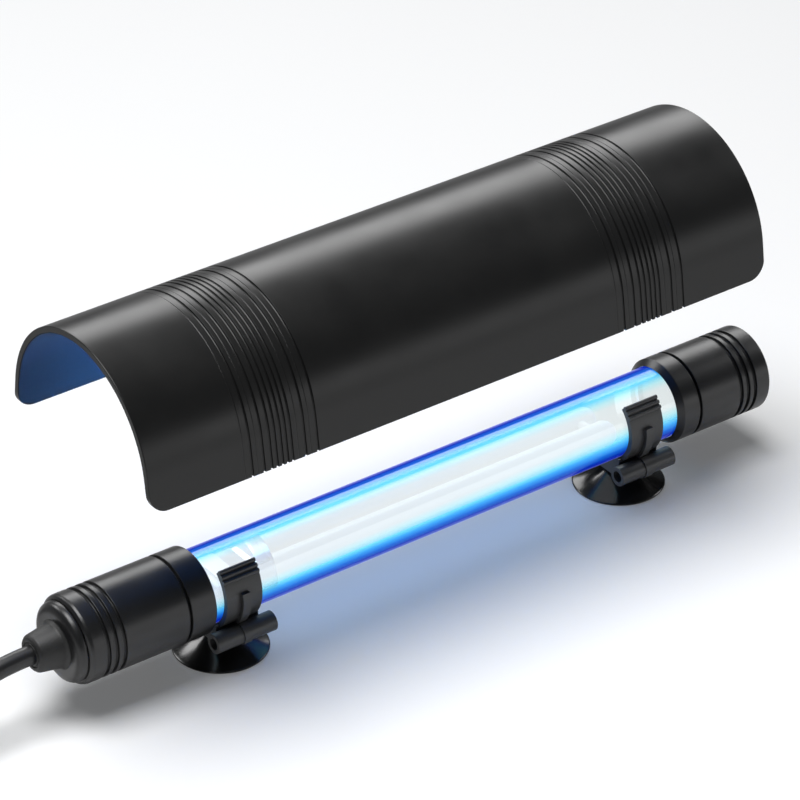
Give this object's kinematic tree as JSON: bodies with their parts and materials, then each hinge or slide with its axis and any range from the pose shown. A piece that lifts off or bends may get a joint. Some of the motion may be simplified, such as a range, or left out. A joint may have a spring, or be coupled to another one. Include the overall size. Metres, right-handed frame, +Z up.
{
  "type": "uv clarifier",
  "caption": "Submersible UV clarifier: glowing lamp in a quartz sleeve between black screw-collar caps, on suction-cup clips, with a mains cord and a lift-off half-round light shield.",
  "frame": {"origin": "on the surface the suction cups stand on, below the middle of the lamp between its two end faces", "axes": "+X along the lamp towards the blind end, the cord leaves towards -X; +Z up, away from the surface"},
  "size_m": [0.5536, 0.1555, 0.1772],
  "materials": {
    "shield_black": "satin",
    "cap_black": "satin",
    "clip_black": "satin",
    "cup_rubber": "glossy",
    "seal_rubber": "matt",
    "relief_rubber": "fine grain",
    "cord_rubber": "matt",
    "plug_rubber": "satin",
    "quartz": "clear",
    "lamp_glass": "glowing",
    "white_plastic": "satin",
    "clear_ring": "clear",
    "pcb_green": "satin",
    "ferrite": "matt",
    "capacitor_can": "satin",
    "transistor_black": "matt",
    "pin_brass": "polished",
    "pin_nickel": "polished",
    "core_brown": "satin",
    "core_blue": "satin"
  },
  "bodies": {
    "lamp": {"quartz_sleeve": "quartz", "cable_end_cushion": "seal_rubber", "blind_end_cushion": "seal_rubber", "cable_end_seal": "seal_rubber", "blind_end_seal": "seal_rubber", "cable_end_cap": "cap_black", "cable_end_plate": "cap_black", "blind_end_cap": "cap_black", "strain_relief": "relief_rubber", "uv_tubes": "lamp_glass", "lamp_base": "white_plastic", "lamp_pins": "pin_brass", "lamp_socket": "white_plastic", "lamp_spacer": "clear_ring", "ballast_board": "pcb_green", "ballast_choke": "ferrite", "ballast_capacitor": "capacitor_can", "ballast_transistors": "transistor_black", "supply_wires": "core_brown", "socket_wires": "core_blue", "supply_cord": "cord_rubber", "cord_coil": "cord_rubber", "cord_tie": "plug_rubber", "plug_cord": "cord_rubber", "plug_body": "plug_rubber", "plug_pins": "pin_nickel"},
    "cable_washer": {"cable_end_washer": "white_plastic"},
    "cable_collar": {"cable_end_collar": "cap_black"},
    "blind_washer": {"blind_end_washer": "white_plastic"},
    "blind_collar": {"blind_end_collar": "cap_black"},
    "cable_clip": {"cable_end_clip": "clip_black"},
    "blind_clip": {"blind_end_clip": "clip_black"},
    "cable_cup": {"cable_end_cup": "cup_rubber"},
    "blind_cup": {"blind_end_cup": "cup_rubber"},
    "shield": {"light_shield": "shield_black"}
  },
  "joints": [
    {"name": "shield_lift", "type": "slide", "parent": "lamp", "child": "shield", "axis": [0, 0, 1], "range_m": [-0.1186, 0]},
    {"name": "cable_clip_slide", "type": "slide", "parent": "lamp", "child": "cable_clip", "axis": [1, 0, 0], "range_m": [0, 0.06]},
    {"name": "blind_clip_slide", "type": "slide", "parent": "lamp", "child": "blind_clip", "axis": [1, 0, 0], "range_m": [-0.06, 0]},
    {"name": "cable_cup_swivel", "type": "hinge", "parent": "cable_clip", "child": "cable_cup", "pos_m": [-0.1043, 0, 0.0136], "axis": [0, 0, 1], "continuous": true},
    {"name": "blind_cup_swivel", "type": "hinge", "parent": "blind_clip", "child": "blind_cup", "pos_m": [0.1143, 0, 0.0136], "axis": [0, 0, 1], "continuous": true},
    {"name": "cable_washer_travel", "type": "slide", "parent": "lamp", "child": "cable_washer", "axis": [1, 0, 0], "range_m": [0, 0.003]},
    {"name": "cable_collar_turn", "type": "hinge", "parent": "cable_washer", "child": "cable_collar", "pos_m": [-0.125, 0, 0.0348], "axis": [1, 0, 0], "range_deg": [0, 540]},
    {"name": "blind_washer_travel", "type": "slide", "parent": "lamp", "child": "blind_washer", "axis": [-1, 0, 0], "range_m": [0, 0.003]},
    {"name": "blind_collar_turn", "type": "hinge", "parent": "blind_washer", "child": "blind_collar", "pos_m": [0.1389, 0, 0.0348], "axis": [-1, 0, 0], "range_deg": [0, 540]}
  ],
  "couplings": [
    {"joint": "cable_washer_travel", "follows": "cable_collar_turn", "m_per_rad": 0.00031831},
    {"joint": "blind_washer_travel", "follows": "blind_collar_turn", "m_per_rad": 0.00031831}
  ]
}
